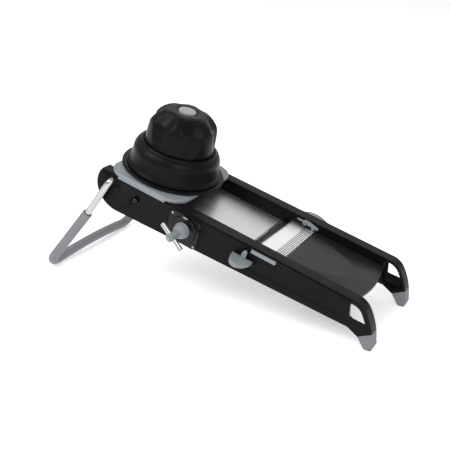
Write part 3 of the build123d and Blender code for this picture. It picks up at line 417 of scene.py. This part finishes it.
bell_section = [
    (43.5, 3.7), (46.0, 3.7), (46.0, 8.6), (57.2, 8.6), (58.0, 9.4), (57.9, 10.6), (56.4, 11.6), (55.0, 12.4),
    (54.3, 16.0), (53.6, 22.0), (53.4, 28.0), (52.8, 31.4), (51.0, 35.0), (48.9, 37.6), (46.9, 38.5),
    (46.3, 39.3), (45.6, 40.3), (44.4, 40.35), (43.6, 39.8), (43.5, 36.0),
]
bell = spun(softened_section(bell_section), PUSHER, AXIS_UP)
finish_piece(bell, "pusher_bell_shell", "pusher_bell", sharp_angle=50)
print("flange and bell spun")

# %% [markdown]
# The knob starts as a plain turned cap. Six flutes are then pressed into its shoulder: each ring of vertices is
# pushed towards the axis where a flute passes, most at the shoulder and fading out halfway down.

# %% Palm knob
FLUTES = 6
FIRST_FLUTE = math.radians(19.0)
FLUTE_RADIUS = 15.0


def flute_depth(height):
    """Depth of a flute at its middle, over the knob's height."""
    stations = [(41.0, 0.6), (48.0, 2.0), (58.0, 4.0), (66.0, 5.6), (73.0, 6.2), (78.5, 5.2), (82.6, 2.4),
                (84.2, 0.2)]
    for (low, first), (high, second) in zip(stations, stations[1:]):
        if low <= height <= high:
            share = (height - low) / (high - low)
            return first + (second - first) * share * share * (3 - 2 * share)
    return 0.0


knob_section = [
    (38.2, 40.4), (41.9, 40.4), (42.0, 41.4), (41.8, 54.0), (41.2, 64.5), (40.2, 68.5),
    (38.2, 72.0), (34.6, 76.0), (30.6, 79.4), (26.4, 82.0), (21.5, 83.4), (16.5, 83.5),
    (12.4, 82.6), (11.4, 82.0), (11.2, 81.0), (11.2, 77.0), (6.3, 77.0), (6.3, 66.0),
    (14.0, 66.0), (24.0, 62.0), (33.0, 56.0), (38.2, 46.0),
]
knob_rows = softened_section(knob_section, passes=2)
ROW_SPACING = 1.6
fine_rows = []
for first, second in zip(knob_rows, knob_rows[1:]):
    pieces = max(1, int((Vector(second) - Vector(first)).length / ROW_SPACING))
    fine_rows += [tuple(Vector(first).lerp(Vector(second), i / pieces)) for i in range(pieces)]
knob = spun(fine_rows + [knob_rows[-1]], PUSHER, AXIS_UP, steps=192)
for corner in knob.verts:
    out = Vector((corner.co.x - PUSHER.x, corner.co.y, 0))
    if out.length < 15.0 or (corner.co.z < 66.5 and out.length < 38.6):
        continue
    angle = math.atan2(out.y, out.x) - FIRST_FLUTE
    from_middle = (angle + math.pi / FLUTES) % (2 * math.pi / FLUTES) - math.pi / FLUTES
    aside = abs(from_middle) * out.length
    press = flute_depth(corner.co.z)
    cut = press - aside * aside / (2 * FLUTE_RADIUS)
    soft = 0.5 * (cut + math.sqrt(cut * cut + 0.5)) - 0.15
    if press > 0.0 and soft > 0.0:
        corner.co -= out.normalized() * soft
finish_piece(knob, "palm_knob", "pusher_knob", sharp_angle=60)

button_section = [(0.0, 80.5), (10.6, 80.5), (10.75, 81.0), (10.7, 83.9), (9.9, 84.6), (6.0, 84.8), (0.0, 84.85)]
button = spun(softened_section(button_section, passes=1), PUSHER, AXIS_UP, steps=96)
stem = spun([(0.0, 60.4), (2.4, 60.4), (2.4, 80.8), (0.0, 80.8)], PUSHER, AXIS_UP, steps=48)
stem_mesh = bpy.data.meshes.new("stem_source")
stem.to_mesh(stem_mesh)
button.from_mesh(stem_mesh)
stem.free()
bpy.data.meshes.remove(stem_mesh)
finish_piece(button, "palm_button", "release_button", sharp_angle=40)
print("knob with", FLUTES, "flutes")

# %% [markdown]
# The remaining pieces keep the exact shapes they were drawn with. Each is copied and its loose triangles are
# welded, so that curved faces shade smoothly. A weighted normal modifier then keeps the broad flats even.

# %% Welded pieces
MODELLED = {"pusher_ring", "pusher_bell", "pusher_knob", "release_button"}
DEFORMING = {"button_spring"}


def welded(node):
    source = frame["nodes"][node].data
    mesh_data = bmesh.new()
    mesh_data.from_mesh(source)
    bmesh.ops.remove_doubles(mesh_data, verts=mesh_data.verts, dist=2e-6)
    bmesh.ops.recalc_face_normals(mesh_data, faces=mesh_data.faces)
    bmesh.ops.transform(mesh_data, matrix=SLICER.inverted(), verts=mesh_data.verts)
    return finish_piece(mesh_data, node + "_skin", node)


for node in slot_of:
    if node in MODELLED:
        continue
    if node in DEFORMING:
        frame["nodes"][node].data.materials.clear()
        frame["nodes"][node].data.materials.append(SHADE[slot_of[node]])
        continue
    welded(node)
print(len(slot_of) - len(MODELLED) - len(DEFORMING), "pieces welded")

# %% [markdown]
# The slicer stands on a plain pale floor under soft light: a lamp high on the left, a weaker one on the right,
# a broad one behind that lights the steel, and a pale surround. The camera looks across from the near side, and
# is placed in the slicer's own directions.

# %% Floor, light and camera
floor_data = bmesh.new()
bmesh.ops.create_circle(floor_data, cap_ends=True, radius=9.0, segments=96)
floor_mesh = bpy.data.meshes.new("floor")
floor_data.to_mesh(floor_mesh)
floor_data.free()
floor = bpy.data.objects.new("floor", floor_mesh)
bpy.context.collection.objects.link(floor)
paper = bpy.data.materials.new("floor_paper")
paper.use_nodes = True
paper_shader = paper.node_tree.nodes["Principled BSDF"]
paper_where = paper.node_tree.nodes.new("ShaderNodeTexCoord")
paper_tone = noise_node(paper.node_tree, paper_where.outputs["Object"], 3.0)
paper_white = mixed_colour(paper.node_tree, paper_tone, (0.93, 0.93, 0.93), (0.95, 0.95, 0.95))
paper.node_tree.links.new(paper_white, paper_shader.inputs["Base Color"])
paper_shader.inputs["Roughness"].default_value = 0.9
paper_shader.inputs["Emission Color"].default_value = (1, 1, 1, 1)
paper_shader.inputs["Emission Strength"].default_value = 0.42
floor.data.materials.append(paper)


def lamp(name, place, aim, size, power):
    data = bpy.data.lights.new(name, "AREA")
    data.shape = "SQUARE"
    data.size = size
    data.energy = power
    light = bpy.data.objects.new(name, data)
    bpy.context.collection.objects.link(light)
    light.location = place
    light.rotation_euler = (Vector(aim) - Vector(place)).to_track_quat("-Z", "Y").to_euler()
    return light


lamp("key_softbox", (-0.7, -0.9, 1.5), (0.0, 0.0, 0.1), 1.1, 17.0)
lamp("fill_softbox", (1.1, -1.0, 0.9), (0.0, 0.0, 0.1), 0.9, 7.0)
lamp("back_softbox", (-0.2, 1.5, 1.6), (0.05, 0.0, 0.08), 2.2, 9.0)
world = bpy.data.worlds.new("surround")
bpy.context.scene.world = world
world.use_nodes = True
world.node_tree.nodes["Background"].inputs["Color"].default_value = (1.0, 1.0, 1.0, 1.0)
world.node_tree.nodes["Background"].inputs["Strength"].default_value = 0.55

CAMERA_PLACE = Vector((439.177, -765.046, 430.445))
CAMERA_RIGHT = Vector((0.8362812, 0.4896180, 0.2467954))
CAMERA_DOWN = Vector((0.4383054, -0.3265328, -0.8374155))
CAMERA_AHEAD = Vector((-0.3294269, 0.8084866, -0.4876754))
camera_data = bpy.data.cameras.new("camera")
camera_data.sensor_width = 36.0
camera_data.lens = 62.52
camera = bpy.data.objects.new("camera", camera_data)
bpy.context.collection.objects.link(camera)
turned = turn_to_table.to_3x3()
columns = Matrix((turned @ CAMERA_RIGHT, -(turned @ CAMERA_DOWN), -(turned @ CAMERA_AHEAD))).transposed()
camera.matrix_world = Matrix.Translation(SLICER @ CAMERA_PLACE) @ columns.to_4x4()
bpy.context.scene.camera = camera
bpy.context.scene.view_settings.view_transform = "Standard"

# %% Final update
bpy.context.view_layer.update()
